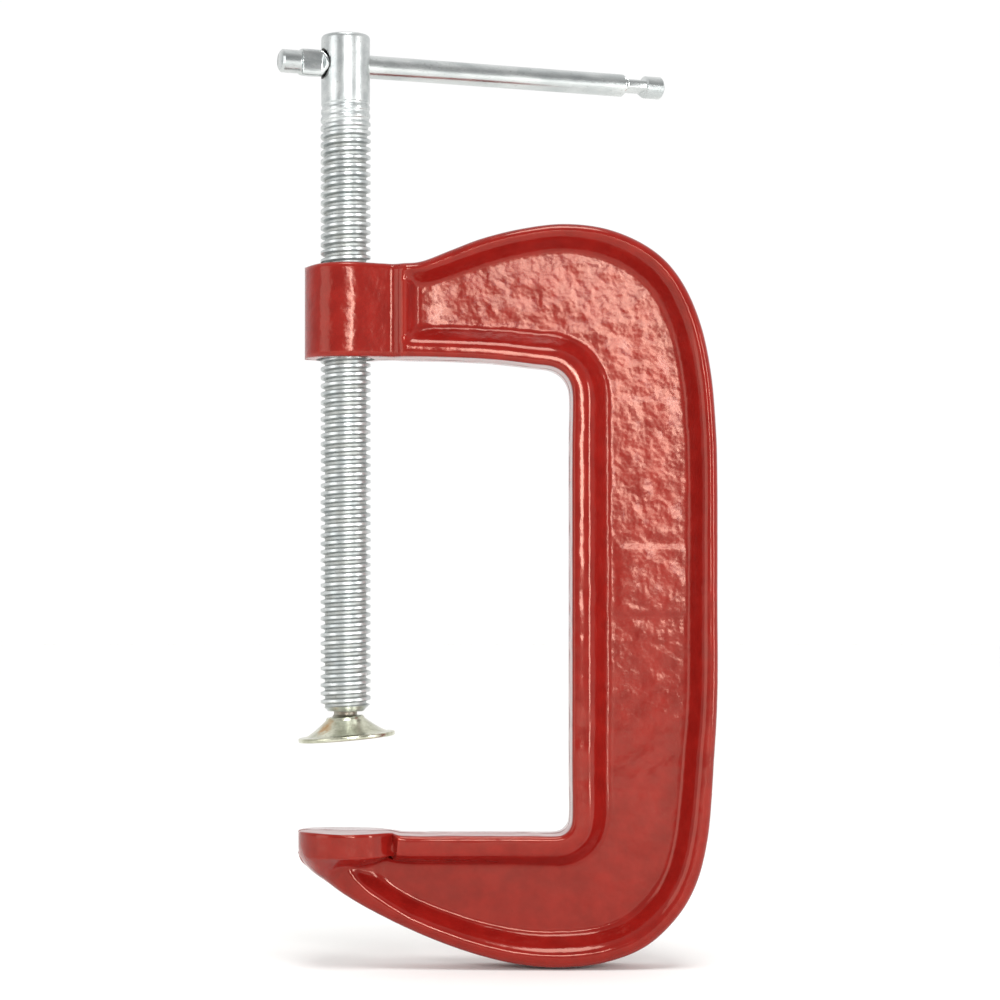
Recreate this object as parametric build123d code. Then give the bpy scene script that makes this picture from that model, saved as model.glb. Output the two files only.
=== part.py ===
"""C clamp with an opening of 150 mm and a throat of 76 mm.

Row frame: the origin is the centre of the anvil's top face, on the screw's axis.
+X runs from the screw towards the spine, +Z up along the screw, all in millimetres.
"""

from build123d import *
from math import radians, tan
import os

# ---- opening and thread -------------------------------------------------------------
OPENING = 150.0  # anvil to pad with the screw fully backed off
TRAVEL_UP = 119.0  # from the rest pose to fully open
PITCH = 25.4 / 9  # 9 threads per inch, right hand, single start
THREAD_R = 8.5
ROOT_R = 7.0
CREST = 1.04
FLANK = 14.5  # degrees, half of the 29 degree thread angle
THREAD_GAP = 0.28  # between the screw's thread and the boss's

# ---- frame casting ------------------------------------------------------------------
BOSS_R = 14.0
BOSS_LOW = 159.5
BOSS_HIGH = 191.2
THROAT = 75.8  # screw axis to the spine's inner face
SPINE_OUT = 126.2
ARM_TOP = -0.9  # the lower arm's inner face lies this much under the anvil
HALF_WIDTH = 11.0
HALF_WEB = 4.0
WALL = 6.0  # flange thickness where the recess is cut
EDGE_R = 1.6  # rounding of the flange's edges
WEB_FILLET = 4.3
RECESS_END_R = 4.9
UNDERSIDE = 155.2  # the upper arm's underside where it would meet the spine
TOP_CORNER = 10.0
LOW_CORNER = 5.5
ANVIL_R = 16.3
ANVIL_SIDE = 8.0

# ---- screw --------------------------------------------------------------------------
PAD_UNDERSIDE = OPENING - TRAVEL_UP
BALL_Z = PAD_UNDERSIDE + 5.0
BALL_R = 5.2
BALL_FLAT = 3.0  # the ball is cut off this far under its centre
NECK_R = 3.95
THREAD_LOW = 40.5
THREAD_START = 42.2
THREAD_TURNS = 72
TURNS_A_PIECE = 2  # the thread is added in pieces of this many turns
TAP_TURNS = 14
TURNS_TO_BOSS = 40
RUN_OUT = 10.0  # the root rises to the head's size over this length
END_GAP = 0.05
HEAD_LOW = 247.0
HEAD_HIGH = 270.0
HEAD_R = 8.3
BAR_Z = 260.0
BAR_HOLE_R = 4.2

# ---- swivel pad ---------------------------------------------------------------------
PAD_R = 16.5
PAD_RIM = 1.35
PAD_HEIGHT = 7.8
COLLAR_R = 6.6
FLARE_R = 9.6  # the flare passes through this radius and height
FLARE_Z = 4.1
SOCKET_R = 5.28
SOCKET_FLOOR = 3.8  # under the ball's centre
PAD_TILT = 5.0  # how far the pad hangs from level, its -X side low

# ---- tommy bar ----------------------------------------------------------------------
BAR_R = 3.9
BAR_TURN = 21.0  # the bar's direction, from +X towards +Y
BAR_NEAR = -23.6  # near end, along the bar from the screw's axis
BAR_FAR = 119.4
CRIMP_LENGTH = 9.0
CRIMP_THICK = 4.2
CRIMP_WIDE = 9.2
STUB = 6.6  # round end left outside each crimp

UP = (Align.CENTER, Align.CENTER, Align.MIN)


def thread_ridge(turns, start, gap=0.0):
    """A helical ridge of trapezoid section around +Z, larger all round by gap."""
    inner = ROOT_R - 0.3
    outer = THREAD_R + gap
    half_out = CREST / 2 + gap
    half_in = half_out + (outer - inner) * tan(radians(FLANK))
    edges = [
        Edge.make_helix(PITCH, turns * PITCH, radius).translate((0, 0, start + dz))
        for radius, dz in ((inner, -half_in), (outer, -half_out), (outer, half_out), (inner, half_in))
    ]
    sides = [Face.make_surface_from_curves(edges[i], edges[(i + 1) % 4]) for i in range(4)]
    ends = [Face(Wire.make_polygon([edge @ t for edge in edges], close=True)) for t in (0, 1)]
    return Solid(Shell(sides + ends))


def outer_curves():
    """The casting's outer edge over the upper arm and under the lower arm, as splines."""
    upper = Spline(
        (12, 192.2), (36, 197.5), (73, 205.9), (107, 194.5), (120.5, 171.4), (SPINE_OUT, 120),
        tangents=((1, 0), (0, -1)),
    )
    lower = Spline(
        (SPINE_OUT, 42), (122.4, -3), (112, -29), (73, -46.2), (32, -37.7), (-12, -13.6),
        tangents=((0, -1), (-1, 0.9)),
    )
    return upper, lower


def inset_points(curve, start, stop, count, depth):
    """Points along part of a curve that runs clockwise, moved inwards by depth."""
    points = []
    for i in range(count):
        t = start + (stop - start) * i / (count - 1)
        ahead = curve % t
        points.append(curve @ t + Vector(ahead.Y, -ahead.X) * depth)
    return points


def arm_outline():
    """Side view of the casting in the XZ plane, from the boss round to the anvil."""
    with BuildSketch(Plane.XZ) as side:
        with BuildLine():
            upper, lower = outer_curves()
            Line(upper @ 1, lower @ 0)
            inner = FilletPolyline((-12, ARM_TOP), (THROAT, ARM_TOP), (THROAT, 60), radius=LOW_CORNER)
            above = FilletPolyline((THROAT, 60), (THROAT, UNDERSIDE), (12, BOSS_LOW), radius=TOP_CORNER)
            Line(lower @ 1, inner @ 0)
            Line(above @ 1, upper @ 0)
        make_face()
    return side.sketch


def recess():
    """The recess beside the web, cut square; its edges are rounded afterwards."""
    upper, lower = outer_curves()
    with BuildSketch(Plane.XZ) as side:
        with BuildLine():
            top = Spline(*inset_points(upper, 0.06, 1, 9, WALL))
            low = Spline(*inset_points(lower, 0, 0.925, 9, WALL))
            Line(top @ 1, low @ 0)
            x = THROAT + WALL
            inner = FilletPolyline(
                ((low @ 1).X, ARM_TOP - WALL), (x, ARM_TOP - WALL), (x, 60), radius=LOW_CORNER + WALL
            )
            above = FilletPolyline(
                (x, 60), (x, UNDERSIDE + WALL), ((top @ 0).X, BOSS_LOW + WALL - 0.6),
                radius=TOP_CORNER + WALL,
            )
            Line(low @ 1, inner @ 0)
            Line(above @ 1, top @ 0)
        face = make_face()
        fillet(face.vertices().filter_by(lambda v: v.X < (top @ 0).X + 1), RECESS_END_R)
    flat = Pos(0, -HALF_WIDTH - 1, 0) * side.sketch
    return extrude(flat, HALF_WIDTH + 1 - HALF_WEB, dir=(0, 1, 0))


def edges_at(body, y):
    """Edges whose middle lies at one depth."""
    return body.edges().filter_by(lambda e: abs(e.center().Y - y) < 0.01)


def frame_casting():
    """I-section arm with a tapped boss at the top and a round anvil at the bottom."""
    half = extrude(arm_outline(), HALF_WIDTH, dir=(0, -1, 0)) - recess()
    half = fillet(edges_at(half, -HALF_WEB), WEB_FILLET)
    half = fillet(edges_at(half, -HALF_WIDTH), EDGE_R)
    body = half + mirror(half, about=Plane.XZ)
    with BuildSketch(Plane.XZ) as anvil:
        with BuildLine():
            Polyline(
                (0, 0), (ANVIL_R - 1.1, 0), (ANVIL_R - 0.3, -0.8), (ANVIL_R, -ANVIL_SIDE),
                (ANVIL_R - 5.5, -ANVIL_SIDE - 6), (0, -ANVIL_SIDE - 6), close=True,
            )
        make_face()
    body += revolve(anvil.sketch, Axis.Z)
    boss = Pos(0, 0, BOSS_LOW) * Cylinder(BOSS_R, BOSS_HIGH - BOSS_LOW, align=UP)
    body += chamfer(boss.edges().filter_by(GeomType.CIRCLE), 0.8)
    tap = Pos(0, 0, BOSS_LOW - 20) * Cylinder(ROOT_R + THREAD_GAP, 80, align=UP)
    tap += thread_ridge(TAP_TURNS, THREAD_START + TURNS_TO_BOSS * PITCH, THREAD_GAP)
    return body - tap


def spindle():
    """Threaded rod with a plain head, drilled across for the tommy bar."""
    with BuildSketch(Plane.XZ) as half:
        with BuildLine():
            Polyline(
                (0, THREAD_LOW), (ROOT_R - 0.8, THREAD_LOW), (ROOT_R, THREAD_LOW + 0.8),
                (ROOT_R, HEAD_LOW - RUN_OUT), (HEAD_R, HEAD_LOW), (HEAD_R, HEAD_HIGH - 0.9),
                (HEAD_R - 0.9, HEAD_HIGH), (0, HEAD_HIGH), close=True,
            )
        make_face()
    body = revolve(half.sketch, Axis.Z)
    across = Pos(0, 0, BAR_Z) * Rot(0, 0, BAR_TURN) * Rot(0, 90, 0)
    body -= across * Cylinder(BAR_HOLE_R, 40)
    for side in (0, 180):
        mouth = Cone(BAR_HOLE_R - 0.4, BAR_HOLE_R + 1.1, 1.5, align=UP)
        body -= across * Rot(side, 0, 0) * Pos(0, 0, HEAD_R - 1.3) * mouth
    done = 0
    while done < THREAD_TURNS:
        turns = min(TURNS_A_PIECE, THREAD_TURNS - done)
        body += thread_ridge(turns, THREAD_START + done * PITCH)
        done += turns
    return body


def ball_end():
    """Neck and cut-off ball under the thread; the pad's collar holds the ball."""
    ball = Pos(0, 0, BALL_Z) * Sphere(BALL_R)
    ball &= Pos(0, 0, BALL_Z - BALL_FLAT) * Cylinder(BALL_R + 1, BALL_FLAT + NECK_R, align=UP)
    neck = Pos(0, 0, BALL_Z) * Cylinder(NECK_R, THREAD_LOW - END_GAP - BALL_Z, align=UP)
    return ball + neck


def swivel_pad():
    """Bell-shaped pad with a collar closed over the ball, hanging slightly off level."""
    low = PAD_UNDERSIDE
    with BuildSketch(Plane.XZ) as half:
        with BuildLine():
            collar_side = low + PAD_HEIGHT - 0.7
            Polyline(
                (0, low), (PAD_R - 0.5, low), (PAD_R, low + 0.5), (PAD_R, low + PAD_RIM - 0.3),
                (PAD_R - 0.3, low + PAD_RIM), (PAD_R - 3.6, low + PAD_RIM + 0.35),
            )
            ThreePointArc(
                (PAD_R - 3.6, low + PAD_RIM + 0.35),
                (FLARE_R, low + FLARE_Z),
                (COLLAR_R, collar_side),
            )
            Polyline(
                (COLLAR_R, collar_side), (COLLAR_R - 0.6, low + PAD_HEIGHT),
                (0, low + PAD_HEIGHT), (0, low),
            )
        make_face()
    socket = Pos(0, 0, BALL_Z) * Sphere(SOCKET_R)
    socket &= Pos(0, 0, BALL_Z - SOCKET_FLOOR) * Cylinder(SOCKET_R + 1, 20, align=UP)
    pad = revolve(half.sketch, Axis.Z) - socket
    return pad.rotate(Axis((0, 0, BALL_Z), (0, 1, 0)), -PAD_TILT)


def tommy_bar():
    """Round rod, squeezed flat near each end, the two flats a quarter turn apart."""
    rod = Pos(0, 0, BAR_NEAR) * Cylinder(BAR_R, BAR_FAR - BAR_NEAR, align=UP)
    rod = chamfer(rod.edges().filter_by(GeomType.CIRCLE), 0.8)
    half_length = CRIMP_LENGTH / 2
    middles = (BAR_NEAR + STUB + half_length, BAR_FAR - STUB - half_length)
    for middle, turn in zip(middles, (90, 0)):
        place = Pos(0, 0, middle) * Rot(0, 0, turn)
        with BuildSketch(Plane.XZ) as ear:
            with BuildLine():
                for side in (1, -1):
                    ThreePointArc(
                        (side * (BAR_R - 0.4), -half_length), (side * CRIMP_WIDE / 2, 0),
                        (side * (BAR_R - 0.4), half_length),
                    )
                for end in (-half_length, half_length):
                    Line((BAR_R - 0.4, end), (0.4 - BAR_R, end))
            make_face()
        with BuildSketch(Plane.YZ) as bite:
            with BuildLine():
                deep = CRIMP_THICK / 2
                Polyline(
                    (BAR_R + 1, -half_length - 1), (BAR_R, -half_length), (deep, 1.4 - half_length),
                    (deep, half_length - 1.4), (BAR_R, half_length), (BAR_R + 1, half_length + 1),
                    close=True,
                )
            make_face()
        cut = extrude(bite.sketch, 8, both=True)
        rod -= place * cut + place * Rot(0, 0, 180) * cut
        rod += place * extrude(ear.sketch, deep, both=True)
    along = Pos(0, 0, BAR_Z) * Rot(0, 0, BAR_TURN) * Rot(0, 90, 0)
    return along * rod


os.makedirs("parts", exist_ok=True)
for name, make in (
    ("frame_casting", frame_casting),
    ("spindle", spindle),
    ("spindle_ball_end", ball_end),
    ("tommy_bar", tommy_bar),
    ("swivel_pad", swivel_pad),
):
    export_step(make(), f"parts/{name}.step")
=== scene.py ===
from math import cos, pi, radians, sin, tan

import bmesh
import bpy
import numpy as np
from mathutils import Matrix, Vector


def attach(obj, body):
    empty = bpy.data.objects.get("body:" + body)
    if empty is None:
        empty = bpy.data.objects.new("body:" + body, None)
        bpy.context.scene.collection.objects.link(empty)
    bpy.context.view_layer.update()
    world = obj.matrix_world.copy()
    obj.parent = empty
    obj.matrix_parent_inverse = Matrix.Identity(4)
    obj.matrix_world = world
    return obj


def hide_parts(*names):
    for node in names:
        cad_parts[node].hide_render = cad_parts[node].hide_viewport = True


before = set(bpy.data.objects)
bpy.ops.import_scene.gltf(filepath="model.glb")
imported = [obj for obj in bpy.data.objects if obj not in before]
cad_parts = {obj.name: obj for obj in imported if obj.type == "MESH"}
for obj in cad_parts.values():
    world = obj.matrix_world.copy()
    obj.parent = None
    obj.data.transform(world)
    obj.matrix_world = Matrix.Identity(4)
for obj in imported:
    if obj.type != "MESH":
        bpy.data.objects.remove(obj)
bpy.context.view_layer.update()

bl_info = {
    "name": "C Clamp",
    "version": (1, 0, 0),
    "blender": (4, 5, 0),
    "location": "View3D > Sidebar > C Clamp",
    "description": "Builds a C clamp with a cast frame, a screw, a cross bar and a swivel pad",
    "category": "Add Mesh",
}

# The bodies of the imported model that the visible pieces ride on.
FRAME, SCREW, SCREW_END, BAR, PAD = "frame", "screw", "screw_end", "bar", "pad"

# Sizes in millimetres and angles in degrees, as in the part's source.
PITCH = 25.4 / 9
THREAD_R, ROOT_R, CREST = 8.5, 7.0, 1.04
THREAD_DEPTH = THREAD_R - ROOT_R
FLANK = THREAD_DEPTH * tan(radians(14.5))  # length of a flank along the screw
THREAD_LOW, THREAD_START = 40.5, 42.2
HEAD_LOW, HEAD_HIGH, HEAD_R = 247.0, 270.0, 8.3
BAR_Z, BAR_TURN, BAR_NEAR, BAR_FAR, BAR_R = 260.0, 21.0, -23.6, 119.35, 3.9
BAR_HOLE_R = 4.2
STUB, CRIMP_LENGTH = 6.6, 9.0
BALL_Z, BALL_R, NECK_R = 36.0, 5.2, 3.95
NECK_TOP = 40.42
PAD_LOW, PAD_HIGH, COLLAR_R, SOCKET_R, PAD_TILT = 31.0, 38.75, 6.6, 5.28, 5.0
FLANGE, WEB = 11.0, 4.0
BOSS_R, BORE_R, MOUTH_R = 14.0, 8.62, 10.2
BORE_LOW, BORE_HIGH = 159.9, 191.9
ANVIL_R, ANVIL_SIDE = 16.2, 8.3
UPPER_Z = 100.0  # what is above this belongs to the upper arm
DRAFT = 0.3
FLOOR_Z = -46.4

# What the middle of the picture looks at, along X and Z, in metres.
VIEW_CENTRE = (0.0525, 0.1122)


# ---- colour and nodes -----------------------------------------------------------------
def linear(hex_colour):
    """A #rrggbb colour in sRGB as linear RGBA."""
    rgb = [int(hex_colour[i : i + 2], 16) / 255 for i in (1, 3, 5)]
    return [c / 12.92 if c <= 0.04045 else ((c + 0.055) / 1.055) ** 2.4 for c in rgb] + [1.0]


def node(tree, kind, settings=None, **links):
    """Adds a node. Settings that name a socket set its value, others set a property; a link
    is socket=(node, output), with _ for a blank and i0, i1 and so on for a socket's index."""
    new = tree.nodes.new(kind)
    for key, value in (settings or {}).items():
        if isinstance(key, int) or key in new.inputs:
            new.inputs[key].default_value = value
        else:
            setattr(new, key, value)
    for key, (source, output) in links.items():
        name = key.replace("_", " ")
        place = int(name[1:]) if name[0] == "i" and name[1:].isdigit() else name
        tree.links.new(source.outputs[output], new.inputs[place])
    return new


def ramp(tree, stops, source, output):
    """A colour ramp with stops [(position, linear colour)] driven by one output."""
    new = tree.nodes.new("ShaderNodeValToRGB")
    while len(new.color_ramp.elements) < len(stops):
        new.color_ramp.elements.new(0.5)
    for element, (position, colour) in zip(new.color_ramp.elements, stops):
        element.position = position
        element.color = colour
    tree.links.new(source.outputs[output], new.inputs[0])
    return new


def grey(value):
    """A neutral ramp stop."""
    return (value, value, value, 1.0)


def new_material(name):
    """A material with a Principled shader; returns (material, tree, shader, coordinates)."""
    material = bpy.data.materials.new(name)
    material.use_nodes = True
    tree = material.node_tree
    shader = tree.nodes["Principled BSDF"]
    place = node(tree, "ShaderNodeTexCoord")
    return material, tree, shader, place


# ---- surfaces -------------------------------------------------------------------------
def grid_faces(rows, columns, wrap_columns=False):
    """Quads between neighbours of a rows x columns grid of points, as an array of indices."""
    r = np.arange(rows - 1)
    c = np.arange(columns if wrap_columns else columns - 1)
    i, j = np.meshgrid(r, c, indexing="ij")
    i2, j2 = i + 1, (j + 1) % columns
    quads = np.stack([i * columns + j, i * columns + j2, i2 * columns + j2, i2 * columns + j], -1)
    return quads.reshape(-1, 4)


def mesh_object(name, points, quads, sharp=40.0, merge=1e-4, attributes=None):
    """A mesh object from points in millimetres and quads; doubles merge, normals point out."""
    mesh = bpy.data.meshes.new(name)
    mesh.vertices.add(len(points))
    mesh.vertices.foreach_set("co", np.asarray(points, dtype=np.float32).ravel() / 1000)
    mesh.loops.add(quads.size)
    mesh.loops.foreach_set("vertex_index", quads.astype(np.int32).ravel())
    mesh.polygons.add(len(quads))
    mesh.polygons.foreach_set("loop_start", np.arange(0, quads.size, 4, dtype=np.int32))
    for key, values in (attributes or {}).items():
        layer = mesh.attributes.new(key, "FLOAT", "POINT")
        layer.data.foreach_set("value", np.asarray(values, dtype=np.float32).ravel())
    mesh.update(calc_edges=True)
    mesh.validate()
    bm = bmesh.new()
    bm.from_mesh(mesh)
    bmesh.ops.remove_doubles(bm, verts=bm.verts, dist=merge / 1000)
    bmesh.ops.dissolve_degenerate(bm, edges=bm.edges, dist=1e-8)
    bmesh.ops.recalc_face_normals(bm, faces=bm.faces)
    if bm.calc_volume(signed=True) < 0:
        bmesh.ops.reverse_faces(bm, faces=bm.faces)
    bm.to_mesh(mesh)
    bm.free()
    mesh.polygons.foreach_set("use_smooth", np.ones(len(mesh.polygons), dtype=bool))
    mesh.set_sharp_from_angle(angle=radians(sharp))
    new = bpy.data.objects.new(name, mesh)
    bpy.context.scene.collection.objects.link(new)
    return new


def revolved(name, profile, steps=96, place=None, sharp=40.0):
    """A closed profile [(r, z)] whose ends lie on the axis, turned round Z: the point at
    angle a is (r cos a, r sin a, z). place moves the points."""
    r, z = np.array(profile, dtype=float).T
    a = np.linspace(0, 2 * pi, steps, endpoint=False)
    rr, aa = np.meshgrid(r, a, indexing="ij")
    zz = np.repeat(z[:, None], steps, 1)
    points = np.stack([rr * np.cos(aa), rr * np.sin(aa), zz], -1).reshape(-1, 3)
    if place is not None:
        points = place(points)
    return mesh_object(name, points, grid_faces(len(r), steps, wrap_columns=True), sharp)


def cut(target, cutter):
    """Cuts one closed mesh out of another; the cutter goes away. Its material comes along.
    A failed cut leaves next to nothing, so a result with few faces is an error."""
    tool = target.modifiers.new("cut", "BOOLEAN")
    tool.operation, tool.object, tool.solver = "DIFFERENCE", cutter, "EXACT"
    tool.material_mode = "TRANSFER"
    depsgraph = bpy.context.evaluated_depsgraph_get()
    done = bpy.data.meshes.new_from_object(target.evaluated_get(depsgraph))
    target.modifiers.clear()
    old, target.data = target.data, done
    bpy.data.meshes.remove(old)
    bpy.data.objects.remove(cutter)
    fewest_faces = 100
    if len(done.polygons) < fewest_faces:
        raise RuntimeError(f"{target.name} was lost in the cut")


def smooth_step(x, low, high):
    """0 below low, 1 above high, an S curve between."""
    t = np.clip((x - low) / (high - low), 0, 1)
    return t * t * (3 - 2 * t)


def smooth_max(a, b, k):
    """The larger of two heights, with a fillet about k across where they meet."""
    h = np.clip(0.5 + 0.5 * (a - b) / k, 0, 1)
    return b + (a - b) * h + k * h * (1 - h)


def smooth_min(a, b, k):
    """The smaller of two heights, with a rounding about k across where they meet."""
    return -smooth_max(-a, -b, k)


def lumps(x, y, size, seed):
    """Smooth random waves between -1 and 1 over a plane: random heights on a square lattice
    of that size, blended with an S curve between the lattice's corners. The lattice repeats
    after 64 cells, which is longer than any piece."""
    rng = np.random.default_rng(seed)
    cells = 64
    table = rng.uniform(-1, 1, (cells, cells))
    u, v = x / size, y / size
    i, j = np.floor(u).astype(int), np.floor(v).astype(int)
    s, t = u - i, v - j
    s, t = s * s * (3 - 2 * s), t * t * (3 - 2 * t)
    a, b = table[i % cells, j % cells], table[(i + 1) % cells, j % cells]
    c, d = table[i % cells, (j + 1) % cells], table[(i + 1) % cells, (j + 1) % cells]
    return (a * (1 - s) + b * s) * (1 - t) + (c * (1 - s) + d * s) * t


def smooth_curve(points, count):
    """An even chain of points along a centripetal Catmull-Rom curve through given points."""
    p = np.array(points, dtype=float)
    p = np.vstack([2 * p[0] - p[1], p, 2 * p[-1] - p[-2]])
    knots = np.concatenate([[0], np.cumsum(np.linalg.norm(np.diff(p, axis=0), axis=1) ** 0.5)])
    out = []
    for k in range(1, len(p) - 2):
        t = np.linspace(knots[k], knots[k + 1], 120)[:, None]
        a, b, c, d = knots[k - 1], knots[k], knots[k + 1], knots[k + 2]
        p1 = (b - t) / (b - a) * p[k - 1] + (t - a) / (b - a) * p[k]
        p2 = (c - t) / (c - b) * p[k] + (t - b) / (c - b) * p[k + 1]
        p3 = (d - t) / (d - c) * p[k + 1] + (t - c) / (d - c) * p[k + 2]
        q1 = (c - t) / (c - a) * p1 + (t - a) / (c - a) * p2
        q2 = (d - t) / (d - b) * p2 + (t - b) / (d - b) * p3
        out.append((c - t) / (c - b) * q1 + (t - b) / (c - b) * q2)
    chain = np.vstack(out)
    length = np.concatenate([[0], np.cumsum(np.linalg.norm(np.diff(chain, axis=0), axis=1))])
    keep = np.concatenate([[True], np.diff(length) > 1e-9])
    length, chain = length[keep], chain[keep]
    even = np.linspace(0, length[-1], count)
    return np.stack([np.interp(even, length, chain[:, k]) for k in (0, 1)], -1)


def arc(centre, radius, start, stop, count):
    """Points on a circle from one angle to another, in degrees."""
    a = np.radians(np.linspace(start, stop, count))
    return [(centre[0] + radius * cos(t), centre[1] + radius * sin(t)) for t in a]


# ---- the casting ----------------------------------------------------------------------
# Side view, from the boss over the arm, down the spine and back under the lower arm.
OUTER = [
    (-13.9, 191.2), (-8, 191.9), (0, 192.1), (12, 192.0), (20, 192.1), (25.3, 192.6),
    (35.5, 196.4), (45.7, 200.3), (59, 203.6), (72.9, 205.3), (86.5, 204.0), (98, 199.9),
    (107, 193.9), (114, 185.3), (120, 171.7), (123.6, 155), (125.4, 134), (125.8, 118),
    (125.8, 80), (125.8, 46), (124.7, 25), (122.4, -3), (118.5, -18), (112.4, -28.6),
    (101.5, -38.8), (88, -44.2), (72.9, -46.0), (59, -45.0), (45.7, -42.0), (32, -37.4),
    (18.5, -31.6), (3.5, -23.8), (-7.4, -16.8), (-12.6, -12.9), (-15.2, -10.2), (-16.2, -7.4),
]
INNER = (
    [(-13.9, 159.9), (0, 159.7), (14, 159.9), (30, 159.7), (50, 158.8), (64, 157.2)]
    + arc((67.2, 147.8), 9.0, 80, 5, 6)
    + [(76.1, 130), (76.1, 100), (76.1, 60), (76.1, 20)]
    + arc((71.3, 3.9), 4.8, -5, -85, 5)
    + [(60, -0.9), (40, -0.9), (22, -0.9), (18.5, -0.7), (16, -0.15)]
    + [(13.5, 0), (0, 0), (-15.6, 0), (-16.2, -0.5)]
)
# Where the two edges face each other: inner point, outer point, then the widths of the flat
# and the slope beside the inner edge, and of the flat and the slope beside the outer edge.
STATIONS = [
    ((-13.9, 159.9), (-13.9, 191.2), 4.9, 6.0, 4.4, 6.5),
    ((0, 159.7), (0, 192.1), 4.9, 6.0, 4.4, 6.5),
    ((22, 159.8), (22, 192.4), 4.9, 5.4, 3.0, 4.4),
    ((52, 158.7), (47, 201.7), 4.9, 5.6, 3.6, 4.8),
    ((66, 156.8), (72, 206.1), 5.0, 6.0, 3.6, 4.6),
    ((73.8, 154), (104, 197), 5.2, 6.4, 3.9, 5.4),
    ((76.1, 146), (122.5, 161), 5.4, 6.8, 4.0, 5.4),
    ((76.1, 120), (126, 118), 5.6, 7.0, 4.0, 5.3),
    ((76.1, 40), (126, 44), 5.6, 7.0, 4.2, 5.5),
    ((76.1, 8), (122.8, 2), 5.8, 6.6, 4.8, 5.8),
    ((74.7, 0.6), (109, -32), 6.2, 5.0, 5.0, 5.6),
    ((68, -0.9), (73, -46), 6.6, 3.6, 5.4, 5.4),
    ((40, -0.9), (42, -41), 6.8, 3.2, 4.8, 4.8),
    ((24, -0.9), (22, -33.2), 6.8, 3.0, 4.6, 4.5),
    ((12, 0), (9, -26.8), 6.8, 2.6, 6.0, 4.2),
    ((-4, 0), (-5, -18.4), 6.6, 2.4, 8.5, 3.5),
    ((-16.2, -0.5), (-16.2, -7.0), 6.0, 2.4, 8.5, 3.5),
]


def nearest_distance(points, chain):
    """Distance from each point to the nearest of a dense chain of points."""
    best = np.full(len(points), 1e9)
    for part in np.array_split(chain, 30):
        d = (points[:, None, 0] - part[None, :, 0]) ** 2 + (points[:, None, 1] - part[None, :, 1]) ** 2
        best = np.minimum(best, d.min(1))
    return np.sqrt(best)


def casting_height(x, z, d_in, d_out, sizes):
    """Half thickness of the casting over its side view.

    The arm is the flange's height less a recess that starts a flat width in from each edge
    and falls along a slope to the web. The boss and anvil are circles about the screw's axis,
    sqrt(r^2 - x^2), and go on as a plain slope towards the arm. They meet the arm in a
    fillet, and every outer edge is rounded off by a quarter circle. Also gives how much of
    each point is web, from 0 to 1, for the sand's grain.
    """
    flat_in, slope_in, flat_out, slope_out = sizes
    from_in = (d_in - flat_in) / slope_in
    from_out = (d_out - flat_out) / slope_out
    recess = smooth_min(from_in, from_out, 0.35)
    upper = z > UPPER_Z
    # the recess also ends on a slope short of the boss, and a long one short of the anvil
    end = np.where(upper, (x - 20.3) / 4.2, (x - 0.5) / 11.0)
    recess = smooth_min(recess, end, 0.45)
    recess = smooth_min(recess, np.ones_like(recess), 0.22)
    recess = smooth_max(recess, np.zeros_like(recess), 0.32)
    sand = np.clip(recess, 0, 1)
    arm = FLANGE - (FLANGE - WEB) * recess
    # a plain cast pad, just raised from the spine's web
    pad = smooth_step(x, 91, 93.5) * smooth_step(-x, -116.5, -114)
    pad *= smooth_step(z, 72, 74.5) * smooth_step(-z, -97.5, -95)
    arm = arm + 0.28 * pad * sand

    # the arm fades in behind the boss, beside the anvil and beneath it
    neck_up = FLANGE * smooth_step(x, 12.0, 20.0)
    beside = FLANGE * smooth_step(x, 14.9, 17.4)
    beneath = 9.3 + (FLANGE - 9.3) * smooth_step(x, -6, 7)
    low_edge = smooth_step(z, -10.0, -8.4)
    neck_low = (beside * low_edge + beneath * (1 - low_edge)) * smooth_step(x, -15, -1)
    arm = np.minimum(arm, np.where(upper, neck_up, neck_low))

    boss = np.sqrt(np.clip(BOSS_R**2 - x**2, 0, None))
    boss = np.where(x < 5.75, boss, 12.77 - 0.45 * (x - 5.75))
    # under its straight side the anvil tapers away, faster towards the arm
    under = np.clip(-ANVIL_SIDE - z, 0, None)
    anvil_r = ANVIL_R - (0.62 + 1.3 * smooth_step(x, -11, 1)) * under
    anvil = np.sqrt(np.clip(anvil_r**2 - x**2, 0, None)) * (anvil_r > 0)
    anvil = np.where((x < 11) | (z < -ANVIL_SIDE), anvil, 11.81 - 0.93 * (x - 11))
    round_part = np.clip(np.where(upper, boss, anvil), 0, None)
    height = smooth_max(arm, round_part, np.where(upper, 5.0, 1.5))
    # the fillet adds nothing to the boss's far side
    height = np.where(upper & (x < 0), np.minimum(height, boss + 0.02), height)

    beyond = smooth_step(x, 13, 21)
    round_in = np.where(upper, 1.7, 0.8) * (1 - beyond) + 1.5 * beyond
    round_out = np.where(upper, 1.8 * (1 - beyond) + 3.1 * beyond, 2.9)
    for d, radius in ((d_in, round_in), (d_out, round_out)):
        radius = np.minimum(radius, 0.85 * height)
        share = np.clip(1 - d / np.maximum(radius, 1e-6), 0, 1)
        height = height - radius * (1 - np.sqrt(np.clip(1 - share**2, 0, None)))
    return height, sand


def cast_skin(x, z, seed, coarse, fine):
    """What sand and thick paint leave, in millimetres: 9 and 4.5 mm waves everywhere, and
    grain of 4.2 and 2.5 mm cells with the given heights on the web."""
    waves = 0.10 * lumps(x, z, 9.0, seed) + 0.05 * lumps(x, z, 4.5, seed + 1)
    grain = coarse * lumps(x, z, 4.2, seed + 2) + fine * lumps(x, z, 2.5, seed + 3)
    return waves, grain


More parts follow.
